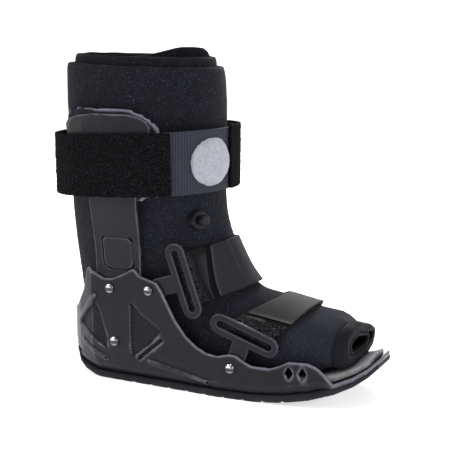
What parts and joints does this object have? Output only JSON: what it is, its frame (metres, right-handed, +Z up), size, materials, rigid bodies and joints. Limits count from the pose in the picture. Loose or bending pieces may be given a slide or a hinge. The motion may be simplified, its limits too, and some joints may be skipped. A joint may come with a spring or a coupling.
{
  "type": "medical walking boot",
  "caption": "Short medical walking boot: plastic shell with rocker sole, uprights with padded paddles, open cloth liner, hook straps in loops, calf strap with pump disc and release valve.",
  "frame": {"origin": "on the flat of the sole, midway across, 143 mm in front of the heel", "axes": "+X to the toes, +Y to the boot's left, +Z up the leg"},
  "size_m": [0.3067, 0.1438, 0.2938],
  "materials": {
    "shell_plastic": "satin",
    "sole_rubber": "matte",
    "insole_foam": "matte",
    "liner_cloth": "brushed",
    "layer_cloth": "brushed",
    "binding_cloth": "woven",
    "pad_foam": "matte",
    "pile_cloth": "looped pile",
    "webbing_cloth": "ribbed weave",
    "flap_cloth": "smooth weave",
    "pump_felt": "felt",
    "rivet_metal": "polished"
  },
  "bodies": {
    "boot": {"boot_shell": "shell_plastic", "outsole": "sole_rubber", "insole": "insole_foam", "liner": "liner_cloth", "liner_inner_layer": "layer_cloth", "liner_overlap": "layer_cloth", "toe_binding": "binding_cloth", "upright_near": "shell_plastic", "upright_far": "shell_plastic", "upright_pad_near": "pad_foam", "upright_pad_far": "pad_foam", "ankle_loop_near": "shell_plastic", "ankle_loop_far": "shell_plastic", "forefoot_loop_near": "shell_plastic", "forefoot_loop_far": "shell_plastic", "upright_rivet_near": "rivet_metal", "upright_rivet_far": "rivet_metal", "lower_rivet_near": "rivet_metal", "lower_rivet_far": "rivet_metal", "ankle_loop_rivet_near": "rivet_metal", "ankle_loop_rivet_far": "rivet_metal", "forefoot_loop_rivet_near": "rivet_metal", "forefoot_loop_rivet_far": "rivet_metal", "ankle_strap": "flap_cloth", "forefoot_strap": "flap_cloth", "calf_webbing": "webbing_cloth", "calf_pile_strap": "pile_cloth", "calf_front_tab": "pile_cloth", "pump_disc": "pump_felt", "valve_flange": "shell_plastic"},
    "valve_button": {"valve_button": "shell_plastic"}
  },
  "joints": [
    {"name": "valve_press", "type": "slide", "parent": "boot", "child": "valve_button", "axis": [-0.9021, 0.4267, -0.0648], "range_m": [0, 0.002], "stiffness_N_per_m": 400}
  ]
}
